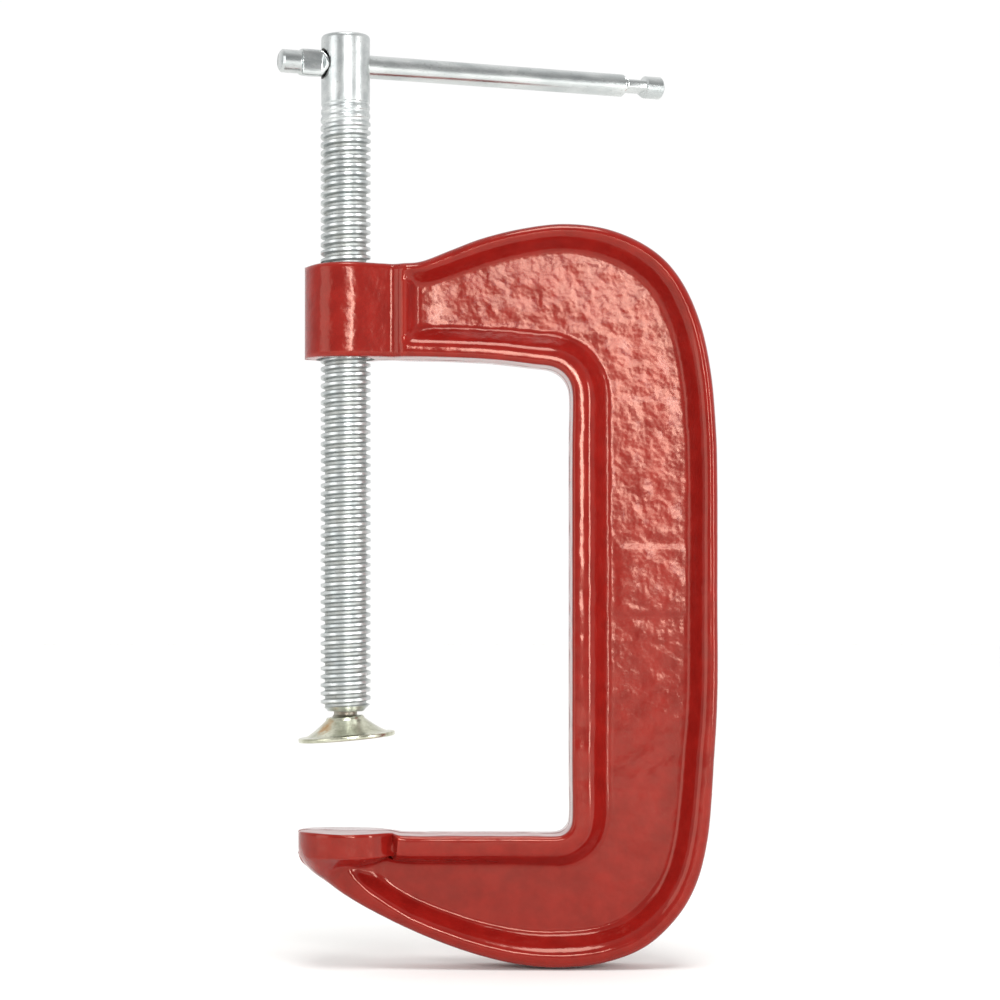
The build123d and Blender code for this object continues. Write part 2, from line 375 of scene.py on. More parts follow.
def casting_mesh():
    """The casting as one closed skin.

    Two parameters: s runs along the C from the boss's far side to the anvil's tip, t runs
    round the section. Across the front, t goes straight from the inner edge to the outer edge
    and the height comes from casting_height; the side walls lean in by the draft from the
    parting line, and the back mirrors the front. Rows along s are about a millimetre apart,
    closer where an end curves in, and rows across the front crowd at the bends of the
    section.
    """
    row_step, end_rows, web_rows = 1.0, 24, 26
    inner, outer = smooth_curve(INNER, 2400), smooth_curve(OUTER, 3000)
    inner_at = [np.argmin(((inner - p[0]) ** 2).sum(1)) for p in STATIONS]
    outer_at = [np.argmin(((outer - p[1]) ** 2).sum(1)) for p in STATIONS]
    shares = []
    for k in range(len(STATIONS) - 1):
        a = (inner[inner_at[k]] + outer[outer_at[k]]) / 2
        b = (inner[inner_at[k + 1]] + outer[outer_at[k + 1]]) / 2
        steps = max(8, int(np.linalg.norm(b - a) / row_step))
        t = np.arange(steps) / steps
        if k == 0:
            t = 1 - np.cos(t * pi / 2)
        if k == len(STATIONS) - 2:
            t = np.sin(np.arange(end_rows) / end_rows * pi / 2)
        shares.append(k + t)
    station = np.concatenate(shares + [[len(STATIONS) - 1]])
    keys = np.arange(len(STATIONS))
    rows_in = np.interp(station, keys, inner_at)
    rows_out = np.interp(station, keys, outer_at)

    def along(chain, where):
        """Points of a chain at these places, and the normals on its left-hand turn."""
        index = np.arange(len(chain))
        tangent = np.gradient(chain, axis=0)
        tangent /= np.linalg.norm(tangent, axis=1)[:, None]
        at = np.stack([np.interp(where, index, chain[:, k]) for k in (0, 1)], -1)
        go = np.stack([np.interp(where, index, tangent[:, k]) for k in (0, 1)], -1)
        return at, np.stack([go[:, 1], -go[:, 0]], -1)

    # both normals point into the metal
    p_in, n_in = along(inner, rows_in)
    n_in = -n_in
    p_out, n_out = along(outer, rows_out)
    sizes = [np.interp(station, keys, [s[k] for s in STATIONS]) for k in (2, 3, 4, 5)]

    across = p_out - p_in
    wide = np.linalg.norm(across, axis=1)
    across /= wide[:, None]
    lean_in = np.clip((across * n_in).sum(1), 0.5, 1)
    lean_out = np.clip(-(across * n_out).sum(1), 0.5, 1)

    def edge_rows(flat, slope):
        """Distances of the rows from an edge: its rounding, the flat's end, the slope, its foot."""
        edge = np.array([0, 0.12, 0.35, 0.7, 1.2, 1.8, 2.6])
        first = np.repeat(edge[None, :], len(flat), 0)
        bend = flat[:, None] + np.array([-1.1, -0.6, -0.25, 0.1, 0.5, 1.0])[None, :]
        middle = flat[:, None] + slope[:, None] * np.array([0.32, 0.5, 0.68])[None, :]
        foot = (flat + slope)[:, None] + np.array([-1.0, -0.5, 0.0, 0.5, 1.0, 1.7])[None, :]
        return np.sort(np.concatenate([first, bend, middle, foot], 1), axis=1)

    d_front_in = edge_rows(sizes[0], sizes[1]) / (wide * lean_in)[:, None]
    d_front_out = edge_rows(sizes[2], sizes[3]) / (wide * lean_out)[:, None]
    total = d_front_in[:, -1] + d_front_out[:, -1]
    widest_share = 0.86  # the rows beside both edges leave at least the rest to the web
    shrink = np.minimum(1, widest_share / total)[:, None]
    d_front_in, d_front_out = d_front_in * shrink, d_front_out * shrink
    web_share = (1 - d_front_out[:, -1] - d_front_in[:, -1])[:, None]
    t_web = d_front_in[:, -1:] + web_share * (np.arange(1, web_rows + 1) / (web_rows + 1))[None, :]
    t = np.concatenate([d_front_in, t_web, 1 - d_front_out[:, ::-1]], 1)

    a = p_in + n_in * DRAFT
    b = p_out + n_out * DRAFT
    plan = a[:, None, :] + (b - a)[:, None, :] * t[:, :, None]
    x, z = plan[..., 0], plan[..., 1]
    flat_points = plan.reshape(-1, 2)
    d_in = nearest_distance(flat_points, inner).reshape(x.shape) - DRAFT
    d_out = nearest_distance(flat_points, outer).reshape(x.shape) - DRAFT
    d_in, d_out = np.clip(d_in, 0, None), np.clip(d_out, 0, None)
    wide_sizes = [np.repeat(s[:, None], t.shape[1], 1) for s in sizes]
    height, sand = casting_height(x, z, d_in, d_out, wide_sizes)

    # the skin is smooth where the casting thins out, and the front's grain fades downwards
    thick = smooth_step(height, 2.0, 5.0)
    upper_half = 0.25 + 0.75 * smooth_step(z, 0, UPPER_Z)
    waves, grain = cast_skin(x, z, 3, 0.11, 0.055)
    front = height + thick * (waves + sand * grain * upper_half)
    waves, grain = cast_skin(x, z, 13, 0.15, 0.10)
    back = height + thick * (waves + sand * grain)

    def wall(edge_front, edge_back, at, normal):
        """Rows from the front edge over the parting line, where a seam stands out by 0.1 mm,
        to the back edge."""
        share = np.array([0.9, 0.7, 0.45, 0.2, 0.06, 0.0, -0.06, -0.2, -0.45, -0.7, -0.9])
        y = np.where(share > 0, share * edge_front[:, None], share * edge_back[:, None])
        lean = DRAFT * np.abs(share)[None, :]
        on_seam = (np.abs(share) < 0.03)[None, :]
        strength = 0.10 * smooth_step(edge_front, 1, 4)[:, None]
        wave = lumps(rows_in[:, None] * 0.25, y, 7.0, 21)
        move = lean + strength * np.where(on_seam, -1.0, wave)
        px = at[:, None, 0] + normal[:, None, 0] * move
        pz = at[:, None, 1] + normal[:, None, 1] * move
        return np.stack([px, -y, pz], -1)

    front_points = np.stack([x, -front, z], -1)
    back_points = np.stack([x, back, z], -1)
    outer_wall = wall(front[:, -1], back[:, -1], p_out, n_out)
    inner_wall = wall(front[:, 0], back[:, 0], p_in, n_in)[:, ::-1]
    # the boss is nearly as grainy as the web, in its gloss and fine relief only
    sand = np.maximum(sand, 0.8 * ((x < 17) & (z > UPPER_Z))) * upper_half
    loop = np.concatenate([front_points, outer_wall, back_points[:, ::-1], inner_wall], 1)
    around = loop.shape[1]
    sand_loop = np.concatenate(
        [sand, np.zeros(outer_wall.shape[:2]), sand[:, ::-1], np.zeros(inner_wall.shape[:2])], 1
    )
    faces = grid_faces(loop.shape[0], around, wrap_columns=True)
    # both ends close: their section has no thickness, so front and back points fold together
    loop[0, :, 1] = loop[-1, :, 1] = 0.0
    return loop.reshape(-1, 3), faces, sand_loop.reshape(-1)


def bore_cutter():
    """The tapped hole through the boss, with a chamfered mouth at each end, as a solid."""
    low, high = BORE_LOW, BORE_HIGH
    profile = [
        (0, low - 6), (10.6, low - 6), (MOUTH_R, low - 0.2), (BORE_R, low + 1.5),
        (BORE_R, high - 1.5), (MOUTH_R, high + 0.2), (10.6, high + 6), (0, high + 6),
    ]
    return revolved("bore_cutter", profile, 96)


# ---- the screw ------------------------------------------------------------------------
def thread_depth(angle, z):
    """How deep under the crest the rolled thread is at a point, in millimetres.

    The position along one pitch, z less the helix's rise at this angle, runs through crest,
    flank, root and flank. The groove gets shallower towards the head.
    """
    phase = ((z - THREAD_START) / PITCH - angle / (2 * pi) + 0.5) % 1 - 0.5
    from_crest = np.abs(phase) * PITCH - CREST / 2
    depth = THREAD_DEPTH * np.clip(from_crest / FLANK, 0, 1)
    fade = 1 - 0.8 * smooth_step(z, HEAD_LOW - 15, HEAD_LOW - 3)
    return depth * fade


def spindle_mesh():
    """Screw as r(angle, z) on a grid whose rows follow the helix, so that crest and root
    edges lie on grid lines; above and below the thread the rows are level."""
    columns = 72
    half = CREST / 2
    stations = np.array([
        -half + 0.10, -half * 0.4, half * 0.4, half - 0.10, half + 0.06, half + FLANK * 0.5,
        half + FLANK - 0.08, half + FLANK + 0.12, PITCH / 2, PITCH - half - FLANK - 0.12,
        PITCH - half - FLANK + 0.08, PITCH - half - FLANK * 0.5, PITCH - half - 0.06,
    ])
    turns = int((HEAD_LOW - THREAD_LOW) / PITCH) + 3
    rows = (np.arange(turns)[:, None] * PITCH + stations[None, :]).ravel()
    base = (THREAD_START - 2 * PITCH) + rows
    angle = np.linspace(0, 2 * pi, columns + 1)
    z = base[:, None] + PITCH * angle[None, :] / (2 * pi)
    z = np.clip(z, THREAD_LOW, HEAD_LOW)
    aa = np.repeat(angle[None, :], len(base), 0)
    major = THREAD_R + (HEAD_R - THREAD_R) * smooth_step(z, HEAD_LOW - 8, HEAD_LOW)
    wear = 0.03 * lumps(aa * 6, z, 5.0, 31)
    depth = thread_depth(aa, z)
    r = major - depth + wear * (1 - smooth_step(z, HEAD_LOW - 4, HEAD_LOW))
    tip_r = ROOT_R - 1.0
    chamfer = tip_r + (z - THREAD_LOW)  # 45 degrees at the lower end
    r = np.minimum(r, chamfer)
    r = np.where(z >= HEAD_LOW - 1e-6, HEAD_R, r)
    # the head's side, its rounded rim and its flat top
    side = [HEAD_LOW, 250, 254, 258, 262, 265, 268.4]
    head_z = np.array(side + [269.1, 269.5, 269.8, HEAD_HIGH, HEAD_HIGH, HEAD_HIGH])
    head_r = np.array([HEAD_R] * len(side) + [8.24, 8.05, 7.75, 7.2, 5.0, 0.0])
    hz = np.repeat(head_z[:, None], columns + 1, 1)
    hr = np.repeat(head_r[:, None], columns + 1, 1)
    ha = np.repeat(angle[None, :], len(head_z), 0)
    low_r = np.array([0.0, 4.0, tip_r])
    lz = np.full((len(low_r), columns + 1), THREAD_LOW)
    lr = np.repeat(low_r[:, None], columns + 1, 1)
    la = np.repeat(angle[None, :], len(low_r), 0)
    zz, rr, ang = np.vstack([lz, z, hz]), np.vstack([lr, r, hr]), np.vstack([la, aa, ha])
    groove = np.vstack([np.zeros_like(lz), depth / THREAD_DEPTH, np.zeros_like(hz)])
    points = np.stack([rr * np.cos(ang), rr * np.sin(ang), zz], -1).reshape(-1, 3)
    return points, grid_faces(len(zz), columns + 1), groove.ravel()


def along_bar(points):
    """From bar coordinates (across, up, along) to the row frame."""
    turn = radians(BAR_TURN)
    across, up, ahead = points[..., 0], points[..., 1], points[..., 2]
    x = ahead * cos(turn) - across * sin(turn)
    y = ahead * sin(turn) + across * cos(turn)
    return np.stack([x, y, BAR_Z + up], -1)


def cross_hole_cutter():
    """The head's cross hole with rounded mouths: a radius along its axis, turned round it."""
    out = np.array([9.5, 8.45, 8.0, 7.6, 7.2, 6.6, 0.0])
    r = np.array([6.4, 5.35, 4.95, 4.6, 4.38, BAR_HOLE_R, BAR_HOLE_R])
    ahead = np.concatenate([-out, out[::-1][1:]])
    radius = np.concatenate([r, r[::-1][1:]])
    profile = [(0, ahead[0])] + list(zip(radius, ahead)) + [(0, ahead[-1])]
    return revolved("cross_hole_cutter", profile, 64, place=along_bar)


# ---- the tommy bar --------------------------------------------------------------------
def bar_mesh():
    """A rod whose section is a superellipse |u/a|^n + |v/b|^n = 1 with a, b and n given
    along its length: round (a = b, n = 2) except where a pair of dies squeezed it flat."""
    near, far = BAR_NEAR, BAR_FAR
    in_from_end = STUB + CRIMP_LENGTH / 2
    crimp_near, crimp_far = near + in_from_end, far - in_from_end
    columns, half_crimp = 48, CRIMP_LENGTH / 2 + 0.1
    zone = np.linspace(-5.2, 5.2, 53)
    s = np.concatenate([
        [near, near, near + 0.25, near + 0.8], [near + 3], crimp_near + zone,
        np.linspace(near + 18, far - 18, 60), crimp_far + zone,
        [far - 3, far - 0.8, far - 0.25, far, far],
    ])
    from_end = np.minimum(s - near, far - s)
    end_r = np.interp(from_end, [0, 0.25, 0.8], [BAR_R - 1.0, BAR_R - 0.55, BAR_R])
    end_r[0] = end_r[-1] = 0.0
    squeeze_near = smooth_step(half_crimp - np.abs(s - crimp_near), 0, 1.3)
    squeeze_far = smooth_step(half_crimp - np.abs(s - crimp_far), 0, 1.3)
    belly_near = squeeze_near * (1 - 0.25 * ((s - crimp_near) / half_crimp) ** 2)
    belly_far = squeeze_far * (1 - 0.25 * ((s - crimp_far) / half_crimp) ** 2)
    thin, wide = 2.05, 4.55  # half sizes of a crimp
    # near crimp stands upright (thin across), far crimp lies flat (thin upright)
    a = end_r + (thin - BAR_R) * squeeze_near + (wide - BAR_R) * belly_far
    b = end_r + (wide - BAR_R) * belly_near + (thin - BAR_R) * squeeze_far
    n = 2 + 1.6 * np.maximum(squeeze_near, squeeze_far)
    angle = np.linspace(0, 2 * pi, columns, endpoint=False)
    c, d = np.cos(angle)[None, :], np.sin(angle)[None, :]
    u = np.sign(c) * np.abs(c) ** (2 / n[:, None]) * a[:, None]
    v = np.sign(d) * np.abs(d) ** (2 / n[:, None]) * b[:, None]
    points = along_bar(np.stack([u, v, np.repeat(s[:, None], columns, 1)], -1))
    return points.reshape(-1, 3), grid_faces(len(s), columns, wrap_columns=True)


# ---- ball end and swivel pad ----------------------------------------------------------
def ball_end_profile():
    """Ball and neck: the ball is a circle about its centre, cut off flat below."""
    a = np.radians(np.linspace(-35.2, 40.4, 16))
    ball = [(BALL_R * cos(t), BALL_Z + BALL_R * sin(t)) for t in a]
    neck = [(NECK_R, BALL_Z + 3.7), (NECK_R, NECK_TOP), (0, NECK_TOP)]
    return [(0, BALL_Z - 3.0)] + ball + neck


def pad_profile():
    """Underside, rim, flare, collar, closed lip, socket and socket floor. The concave flare
    rises from the rim to the collar as 5.3 ((14.6 - r) / 8)^1.35; the socket is a circle
    about the ball's centre."""
    low, high = PAD_LOW, PAD_HIGH
    underside = [(0, low), (15.8, low), (16.25, low + 0.1), (16.44, low + 0.35)]
    rim = [(16.46, low + 1.2), (16.3, low + 1.42), (15.9, low + 1.5), (14.7, low + 1.54)]
    reach = np.linspace(14.0, COLLAR_R, 14)
    flare = [(r, low + 1.5 + 5.3 * ((14.6 - r) / 8.0) ** 1.35) for r in reach]
    collar = [(6.45, high - 0.45), (6.05, high - 0.07), (5.5, high), (4.95, high - 0.15)]
    a = np.radians(np.linspace(31.5, -46.0, 14))
    socket = [(SOCKET_R * cos(t), BALL_Z + SOCKET_R * sin(t)) for t in a]
    return underside + rim + flare + collar + socket + [(0, BALL_Z - 3.8)]


def tilted(points):
    """Turns points about the ball's centre by the pad's resting tilt, its -X side low."""
    t = radians(-PAD_TILT)
    x, z = points[:, 0], points[:, 2] - BALL_Z
    return np.stack([x * cos(t) + z * sin(t), points[:, 1], BALL_Z - x * sin(t) + z * cos(t)], -1)


# ---- materials ------------------------------------------------------------------------
def red_enamel(base, deep):
    """Gloss red enamel, sprayed on sand-cast iron: a thick, wet-looking coat that rounds the
    sand's grain into shiny lumps, runs darker and lighter in clouds of thicker and thinner paint and
    thins on sharp edges."""
    material, tree, shader, place = new_material("gloss_red_enamel_on_sand_cast_iron")
    sand = node(tree, "ShaderNodeAttribute", {"attribute_name": "sand"})
    # 6 mm clouds of thicker and thinner paint
    clouds = node(tree, "ShaderNodeTexNoise", {"Scale": 160.0, "Detail": 3.0, "Roughness": 0.55},
                  Vector=(place, "Object"))
    tone = ramp(tree, [(0.32, linear(deep)), (0.68, linear(base))], clouds, "Fac")
    # thin, lighter paint on sharp edges
    geometry = node(tree, "ShaderNodeNewGeometry")
    edge = ramp(tree, [(0.52, grey(0)), (0.60, grey(1))], geometry, "Pointiness")
    thin = node(tree, "ShaderNodeMix", {"data_type": "RGBA", 7: linear("#AA3228")},
                i6=(tone, "Color"), i0=(edge, "Color"))
    # 0.6 mm nibs and pinholes where dust and sand came through
    specks = node(tree, "ShaderNodeTexNoise", {"Scale": 1500.0, "Detail": 2.0, "Roughness": 0.6},
                  Vector=(place, "Object"))
    nib = ramp(tree, [(0.735, grey(0)), (0.77, grey(1))], specks, "Fac")
    dark = node(tree, "ShaderNodeMix", {"data_type": "RGBA", 7: linear("#4A0A08")},
                i6=(thin, 2), i0=(nib, "Color"))
    tree.links.new(dark.outputs[2], shader.inputs["Base Color"])
    # roughness 0.07 to 0.16 with the coat's thickness, and 0.1 more over the sand's grain
    haze = node(tree, "ShaderNodeMapRange", {"To Min": 0.07, "To Max": 0.16}, Value=(clouds, "Fac"))
    dull = node(tree, "ShaderNodeMath", {"operation": "MULTIPLY_ADD", 1: 0.10}, i0=(sand, "Fac"),
                i2=(haze, "Result"))
    tree.links.new(dull.outputs[0], shader.inputs["Roughness"])
    shader.inputs["IOR"].default_value = 1.52
    shader.inputs["Specular IOR Level"].default_value = 0.5
    shader.inputs["Specular Tint"].default_value = linear("#FFCBB5")
    shader.inputs["Coat Weight"].default_value = 0.06
    shader.inputs["Coat Roughness"].default_value = 0.06
    # relief: 2.5 mm sand lumps under the paint on the web, 3 mm orange peel everywhere
    lump = node(tree, "ShaderNodeTexNoise", {"Scale": 400.0, "Detail": 1.2, "Roughness": 0.4},
                Vector=(place, "Object"))
    peel = node(tree, "ShaderNodeTexNoise", {"Scale": 330.0, "Detail": 2.0, "Roughness": 0.4},
                Vector=(place, "Object"))
    rough = node(tree, "ShaderNodeMath", {"operation": "MULTIPLY"}, i0=(lump, "Fac"), i1=(sand, "Fac"))
    relief = node(tree, "ShaderNodeMath", {"operation": "MULTIPLY_ADD", 1: 0.35}, i0=(peel, "Fac"),
                  i2=(rough, 0))
    bump = node(tree, "ShaderNodeBump", {"Strength": 0.55, "Distance": 0.00036}, Height=(relief, 0))
    tree.links.new(bump.outputs[0], shader.inputs["Normal"])
    return material


def bore_iron_with_painted_shade():
    """Tapped cast iron, unpainted and oily, on a smooth bore: its dark grey is partly the iron's own and
    partly painted shade of the deep hole, and 2.8 mm light and dark bands are painted highlight and
    painted shade standing in for the thread.
    """
    material, tree, shader, place = new_material("tapped_iron_with_painted_shade")
    # painted highlight and painted shade of the thread's turns: a wave repeats every pi / 10 / Scale
    # metres, here close to one pitch
    painted_thread_highlight_and_shade = node(tree, "ShaderNodeTexWave",
                 {"bands_direction": "Z", "Scale": 1000 / PITCH / pi, "Distortion": 0.0},
                 Vector=(place, "Object"))
    # light bands are painted highlight on crests and dark bands are painted shade in roots; both greys
    # are kept dark as painted shade of the hole
    tone = ramp(tree, [(0.2, linear("#1D1B1A")), (0.8, linear("#5B5753"))], painted_thread_highlight_and_shade, "Fac")
    tree.links.new(tone.outputs[0], shader.inputs["Base Color"])
    grain = node(tree, "ShaderNodeTexNoise", {"Scale": 900.0, "Detail": 2.0}, Vector=(place, "Object"))
    shine = node(tree, "ShaderNodeMapRange", {"To Min": 0.35, "To Max": 0.6}, Value=(grain, "Fac"))
    tree.links.new(shine.outputs[0], shader.inputs["Roughness"])
    shader.inputs["Metallic"].default_value = 0.8
    return material


def drilled_hole():
    """Drilled steel the plating hardly reached, kept dark as painted shade inside the hole, with 1.4 mm
    stains of oil and soiling.
    """
    material, tree, shader, place = new_material("drilled_steel_with_painted_shade")
    stain = node(tree, "ShaderNodeTexNoise", {"Scale": 700.0, "Detail": 3.0}, Vector=(place, "Object"))
    # both greys are painted shade of the hole's inside, broken into stains by the noise
    tone = ramp(tree, [(0.35, linear("#1E1D1C")), (0.65, linear("#4C4A47"))], stain, "Fac")
    tree.links.new(tone.outputs[0], shader.inputs["Base Color"])
    shine = node(tree, "ShaderNodeMapRange", {"To Min": 0.4, "To Max": 0.6}, Value=(stain, "Fac"))
    tree.links.new(shine.outputs[0], shader.inputs["Roughness"])
    shader.inputs["Metallic"].default_value = 0.9
    return material


def bright_zinc(name, bright, dull, low, high, groove=None, streak=(1.0, 1.0, 1.0)):
    """Bright zinc plate on drawn or rolled steel: pale grey metal with a faint blue-green
    cast, in 5 mm clouds where the bath left it thin, and duller and darker in the thread's
    root, partly from soiling and partly as painted shade of the root. low and high bound its
    roughness, groove names the attribute that tells the root, and streak stretches the clouds
    along a drawn rod."""
    material, tree, shader, place = new_material(name)
    stretch = node(tree, "ShaderNodeMapping", {"Scale": streak}, Vector=(place, "Object"))
    clouds = node(tree, "ShaderNodeTexNoise", {"Scale": 210.0, "Detail": 4.0, "Roughness": 0.6},
                  Vector=(stretch, 0))
    tone = ramp(tree, [(0.34, linear(dull)), (0.62, linear(bright))], clouds, "Fac")
    out = (tone, "Color")
    # 0.6 mm pits and specks of dried oil
    specks = node(tree, "ShaderNodeTexNoise", {"Scale": 1700.0, "Detail": 2.0},
                  Vector=(place, "Object"))
    spot = ramp(tree, [(0.66, grey(0)), (0.72, grey(0.6))], specks, "Fac")
    spotted = node(tree, "ShaderNodeMix", {"data_type": "RGBA", 7: linear("#77756D")},
                   i6=out, i0=(spot, 0))
    out = (spotted, 2)
    shine = node(tree, "ShaderNodeMapRange", {"To Min": low, "To Max": high}, Value=(clouds, "Fac"))
    gloss = (shine, "Result")
    if groove:
        # darker grey #77786F and more roughness towards the thread's root: partly soiling, partly
        # painted shade of the root
        depth = node(tree, "ShaderNodeAttribute", {"attribute_name": groove})
        root_soil_and_shade_mask = node(tree, "ShaderNodeMath", {"operation": "MULTIPLY"},
                    i0=(depth, "Fac"), i1=(clouds, "Fac"))
        root_soil_and_shade_ramp = ramp(tree, [(0.25, grey(0)), (0.75, grey(0.65))], root_soil_and_shade_mask, 0)
        root_soil_and_shade_mix = node(tree, "ShaderNodeMix", {"data_type": "RGBA", 7: linear("#77786F")},
                     i6=out, i0=(root_soil_and_shade_ramp, 0))
        out = (root_soil_and_shade_mix, 2)
        rougher = node(tree, "ShaderNodeMath", {"operation": "MULTIPLY_ADD", 1: 0.16}, i0=(depth, "Fac"),
                       i2=(shine, "Result"))
        gloss = (rougher, 0)
    tree.links.new(out[0].outputs[out[1]], shader.inputs["Base Color"])
    tree.links.new(gloss[0].outputs[gloss[1]], shader.inputs["Roughness"])
    shader.inputs["Metallic"].default_value = 1.0
    # 1.1 mm ripple, with finer detail, left by rolling and drawing
    ripple = node(tree, "ShaderNodeTexNoise", {"Scale": 900.0, "Detail": 3.0, "Roughness": 0.6},
                  Vector=(stretch, 0))
    bump = node(tree, "ShaderNodeBump", {"Strength": 0.25, "Distance": 0.00012}, Height=(ripple, "Fac"))
    tree.links.new(bump.outputs[0], shader.inputs["Normal"])
    return material


def pad_zinc(bright, dull, stain):
    """Zinc plate with a yellowish passivation on a pressed pad, and a small golden stain, with
    a 1.9 mm broken edge, where a drop of the bath dried beside the collar."""
    material = bright_zinc("yellowish_zinc_on_pressed_pad", bright, dull, 0.16, 0.30)
    tree = material.node_tree
    shader = tree.nodes["Principled BSDF"]
    place = tree.nodes["Texture Coordinate"]
    colour = shader.inputs["Base Color"].links[0].from_socket
    drop = (-0.0068, -0.0062, 0.0352)
    away = node(tree, "ShaderNodeVectorMath", {"operation": "DISTANCE", 1: drop},
                i0=(place, "Object"))
    breakup = node(tree, "ShaderNodeTexNoise", {"Scale": 520.0, "Detail": 3.0},
                   Vector=(place, "Object"))
    reach = node(tree, "ShaderNodeMath", {"operation": "MULTIPLY_ADD", 1: -0.006, 2: 0.003},
                 i0=(breakup, "Fac"))
    near = node(tree, "ShaderNodeMath", {"operation": "ADD"}, i0=(away, "Value"), i1=(reach, 0))
    mask = node(tree, "ShaderNodeMapRange",
                {"From Min": 0.0012, "From Max": 0.0042, "To Min": 0.75, "To Max": 0.0},
                Value=(near, 0))
    mixed = node(tree, "ShaderNodeMix", {"data_type": "RGBA", 7: linear(stain)}, i0=(mask, 0))
    tree.links.new(colour, mixed.inputs[6])
    tree.links.new(mixed.outputs[2], shader.inputs["Base Color"])
    return material


# ---- settings a user would change -----------------------------------------------------
def colour_property(name, text, hex_colour):
    """A colour setting whose default is a #rrggbb value."""
    return bpy.props.StringProperty(name=name, description=text, default=hex_colour, maxlen=7)


class ClampFrameSettings(bpy.types.PropertyGroup):
    """Paint of the casting."""

    paint: colour_property("Enamel", "Colour of the enamel where it is thin", "#881813")
    paint_deep: colour_property("Deep enamel", "Colour of the enamel in the hollows", "#79130F")


class ClampMetalSettings(bpy.types.PropertyGroup):
    """Plating of the screw, bar and pad."""

    bright: colour_property("Bright plate", "Colour of clean zinc plate", "#D2D5D4")
    dull: colour_property("Dull plate", "Colour of cloudy zinc plate", "#B9BEBE")
    pad_bright: colour_property("Pad plate", "Colour of the pad's plate", "#D4D4C0")
    pad_dull: colour_property("Dull pad plate", "Colour of the pad's cloudy plate", "#ABAB96")
    stain: colour_property("Stain", "Colour of the dried stain on the pad", "#A8741E")


class ClampStageSettings(bpy.types.PropertyGroup):
    """Camera and light."""

    distance: bpy.props.FloatProperty(name="Camera distance", description="From the screw's plane",
                                      default=0.93, min=0.3, unit="LENGTH")
    across: bpy.props.FloatProperty(name="Camera across", description="Camera's place along X",
                                    default=0.015, unit="LENGTH")
    height: bpy.props.FloatProperty(name="Camera height", description="Camera's place along Z",
                                    default=0.0802, unit="LENGTH")
    width: bpy.props.FloatProperty(name="View width", description="Width seen in the screw's plane",
                                   default=0.340, min=0.05, unit="LENGTH")


def wear(obj, body, slot, *materials):
    """Gives a finished piece its materials and body. The slot argument is not used."""
    obj.data.materials.clear()
    for material in materials:
        obj.data.materials.append(material)
    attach(obj, body)


class ClampBuildFrame(bpy.types.Operator):
    """Builds the enamelled casting with its tapped boss"""

    bl_idname = "clamp.build_frame"
    bl_label = "Build frame casting"

    def execute(self, context):
        look = context.scene.clamp_frame
        points, faces, sand = casting_mesh()
        casting = mesh_object("casting", points, faces, sharp=50, attributes={"sand": sand})
        cutter = bore_cutter()
        # the bore's material is dark with painted shade and painted thread highlights
        enamel, bore = red_enamel(look.paint, look.paint_deep), bore_iron_with_painted_shade()
        casting.data.materials.append(enamel)
        cutter.data.materials.append(bore)
        cut(casting, cutter)
        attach(casting, FRAME)
        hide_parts("frame_casting")
        return {"FINISHED"}


class ClampBuildScrew(bpy.types.Operator):
    """Builds the threaded screw, its cross hole and its ball end"""

    bl_idname = "clamp.build_screw"
    bl_label = "Build screw"

    def execute(self, context):
        look = context.scene.clamp_metal
        plate = bright_zinc("bright_zinc_on_rolled_thread", look.bright, look.dull, 0.27, 0.42,
                            groove="groove")
        points, faces, groove = spindle_mesh()
        screw = mesh_object("screw", points, faces, sharp=35, attributes={"groove": groove})
        screw.data.materials.append(plate)
        cutter = cross_hole_cutter()
        # the cross hole's dark material is painted shade
        cutter.data.materials.append(drilled_hole())
        cut(screw, cutter)
        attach(screw, SCREW)
        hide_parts("spindle")
        end = revolved("screw_ball_end", ball_end_profile(), 72)
        wear(end, SCREW_END, "plated_screw",
             bright_zinc("dull_zinc_on_neck", "#A9A69A", "#7C7468", 0.3, 0.5))
        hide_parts("spindle_ball_end")
        return {"FINISHED"}


class ClampBuildBar(bpy.types.Operator):
    """Builds the cross bar with its two crimps"""

    bl_idname = "clamp.build_bar"
    bl_label = "Build cross bar"

    def execute(self, context):
        look = context.scene.clamp_metal
        points, faces = bar_mesh()
        bar = mesh_object("cross_bar", points, faces, sharp=38)
        wear(bar, BAR, "plated_bar",
             bright_zinc("bright_zinc_on_drawn_rod", look.bright, look.dull, 0.16, 0.30,
                         streak=(0.25, 0.6, 1.0)))
        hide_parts("tommy_bar")
        return {"FINISHED"}


class ClampBuildPad(bpy.types.Operator):
    """Builds the swivel pad"""

    bl_idname = "clamp.build_pad"
    bl_label = "Build swivel pad"

    def execute(self, context):
        look = context.scene.clamp_metal
        pad = revolved("swivel_pad_bell", pad_profile(), 96, place=tilted, sharp=50)
        wear(pad, PAD, "plated_pad", pad_zinc(look.pad_bright, look.pad_dull, look.stain))
        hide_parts("swivel_pad")
        return {"FINISHED"}


